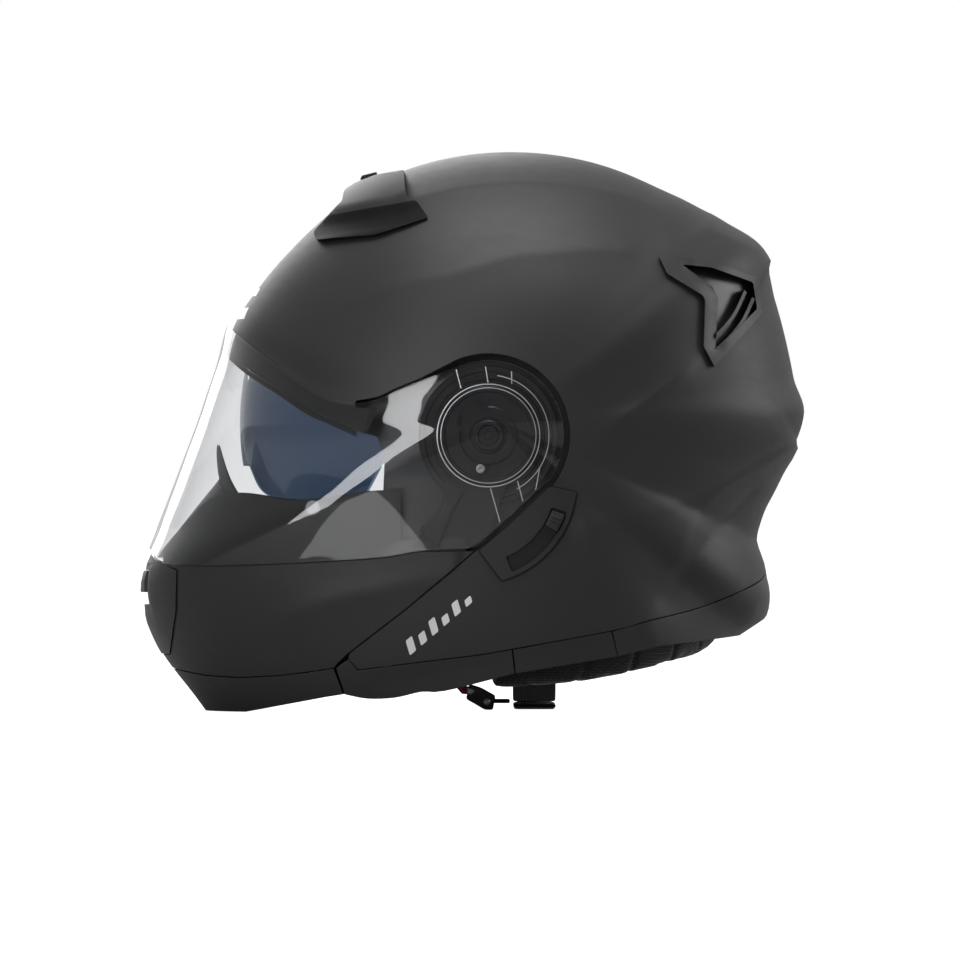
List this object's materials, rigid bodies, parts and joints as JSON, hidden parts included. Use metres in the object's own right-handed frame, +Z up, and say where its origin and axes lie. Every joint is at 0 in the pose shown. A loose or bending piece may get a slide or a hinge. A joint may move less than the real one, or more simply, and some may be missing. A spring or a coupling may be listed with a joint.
{
  "type": "flip-up motorcycle helmet",
  "caption": "Modular motorcycle helmet with a hinged chin bar, clear visor, internal sun visor worked by a side slider, vents, padded liner and ratchet chin strap.",
  "frame": {"origin": "bottom centre of the closed helmet, on the surface it stands on", "axes": "front of the helmet is -Y, the wearer's left side is +X, up is +Z"},
  "size_m": [0.2586, 0.3432, 0.29],
  "materials": {
    "shell_paint": "matt charcoal-black lacquer",
    "trim_plastic": "fine-textured black moulding",
    "mechanism_plastic": "smooth black nylon",
    "seal_rubber": "matt black rubber",
    "clear_visor": "clear hard-coated polycarbonate",
    "smoke_visor": "blue-grey tinted polycarbonate",
    "pale_plastic": "translucent white nylon",
    "foam": "moulded black foam beads",
    "liner_fabric": "black brushed knit",
    "webbing": "black woven polyester webbing",
    "steel": "zinc-plated steel",
    "red_plastic": "red moulded plastic"
  },
  "bodies": {
    "shell": {"outer_shell": "shell_paint", "eps_liner": "foam", "comfort_liner": "liner_fabric", "cheek_pad_left": "liner_fabric", "cheek_pad_right": "liner_fabric", "neck_roll": "liner_fabric", "front_trim_left": "trim_plastic", "front_trim_right": "trim_plastic", "middle_trim_left": "trim_plastic", "middle_trim_right": "trim_plastic", "rear_trim": "trim_plastic", "eyeport_seal": "seal_rubber", "top_vent": "trim_plastic", "rear_vent_left": "trim_plastic", "rear_vent_right": "trim_plastic", "base_plate_left": "mechanism_plastic", "base_plate_right": "mechanism_plastic", "hinge_pin_left": "steel", "hinge_pin_right": "steel", "sun_visor_pin_left": "steel", "sun_visor_pin_right": "steel", "slider_housing": "trim_plastic", "striker_pin_left": "steel", "striker_pin_right": "steel", "strap_left": "webbing", "strap_right": "webbing", "strap_anchor_left": "steel", "strap_anchor_right": "steel", "strap_pad": "liner_fabric", "strap_loop": "webbing", "buckle_body": "mechanism_plastic", "lever_pin": "steel", "pad_release_tab_left": "red_plastic", "pad_release_tab_right": "red_plastic"},
    "chin_bar": {"chin_bar": "shell_paint", "chin_trim": "trim_plastic", "chin_foam": "foam", "nose_guard": "seal_rubber", "chin_vent": "trim_plastic", "hinge_arm_left": "mechanism_plastic", "hinge_arm_right": "mechanism_plastic", "hinge_cover_left": "mechanism_plastic", "hinge_cover_right": "mechanism_plastic"},
    "visor": {"visor": "clear_visor", "visor_hub_left": "mechanism_plastic", "visor_hub_right": "mechanism_plastic", "anti_fog_pin_left": "pale_plastic", "anti_fog_pin_right": "pale_plastic"},
    "sun_visor": {"sun_visor": "smoke_visor"},
    "slider_knob": {"slider_knob": "trim_plastic"},
    "top_vent_slider": {"top_vent_slider": "trim_plastic"},
    "chin_vent_slider": {"chin_vent_slider": "trim_plastic"},
    "release_button": {"release_button": "red_plastic"},
    "latch_hook_left": {"latch_hook_left": "steel"},
    "latch_hook_right": {"latch_hook_right": "steel"},
    "visor_lever_left": {"visor_lever_left": "mechanism_plastic"},
    "visor_lever_right": {"visor_lever_right": "mechanism_plastic"},
    "buckle_lever": {"buckle_lever": "red_plastic"}
  },
  "joints": [
    {"name": "chin_bar_hinge", "type": "hinge", "parent": "shell", "child": "chin_bar", "pos_m": [0, 0.016, 0.149], "axis": [-1, 0, 0], "range_deg": [0, 60]},
    {"name": "visor_hinge", "type": "hinge", "parent": "chin_bar", "child": "visor", "pos_m": [0, 0.016, 0.149], "axis": [-1, 0, 0], "range_deg": [0, 38]},
    {"name": "sun_visor_hinge", "type": "hinge", "parent": "shell", "child": "sun_visor", "pos_m": [0, 0.016, 0.149], "axis": [-1, 0, 0], "range_deg": [0, 46]},
    {"name": "slider_turn", "type": "hinge", "parent": "shell", "child": "slider_knob", "pos_m": [0, 0.0008, 0.1186], "axis": [-1, 0, 0], "range_deg": [0, 34.1]},
    {"name": "top_vent_slide", "type": "slide", "parent": "shell", "child": "top_vent_slider", "axis": [0, 0.9438, 0.3306], "range_m": [0, 0.008]},
    {"name": "chin_vent_slide", "type": "slide", "parent": "chin_bar", "child": "chin_vent_slider", "axis": [0, 0, -1], "range_m": [0, 0.0058]},
    {"name": "release_button_push", "type": "slide", "parent": "chin_bar", "child": "release_button", "axis": [0, -1, 0], "range_m": [0, 0.003], "stiffness_N_per_m": 400},
    {"name": "latch_hook_left_turn", "type": "hinge", "parent": "chin_bar", "child": "latch_hook_left", "pos_m": [0.104, -0.064, 0.057], "axis": [1, 0, 0], "range_deg": [0, 10.1]},
    {"name": "latch_hook_right_turn", "type": "hinge", "parent": "chin_bar", "child": "latch_hook_right", "pos_m": [-0.104, -0.064, 0.057], "axis": [1, 0, 0], "range_deg": [0, 10.1]},
    {"name": "visor_lever_left_turn", "type": "hinge", "parent": "chin_bar", "child": "visor_lever_left", "pos_m": [0.1205, -0.0075, 0.1155], "axis": [-1, 0, 0], "range_deg": [0, 12], "stiffness_Nm_per_rad": 0.02},
    {"name": "visor_lever_right_turn", "type": "hinge", "parent": "chin_bar", "child": "visor_lever_right", "pos_m": [-0.1205, -0.0075, 0.1155], "axis": [-1, 0, 0], "range_deg": [0, 12], "stiffness_Nm_per_rad": 0.02},
    {"name": "buckle_lever_turn", "type": "hinge", "parent": "shell", "child": "buckle_lever", "pos_m": [0, -0.0012, 0.01], "axis": [-1, 0, 0], "range_deg": [0, 36], "stiffness_Nm_per_rad": 0.02}
  ],
  "couplings": [
    {"joint": "slider_turn", "follows": "sun_visor_hinge", "ratio": 0.7391},
    {"joint": "latch_hook_left_turn", "follows": "release_button_push", "rad_per_m": 58.18},
    {"joint": "latch_hook_right_turn", "follows": "release_button_push", "rad_per_m": 58.18}
  ]
}
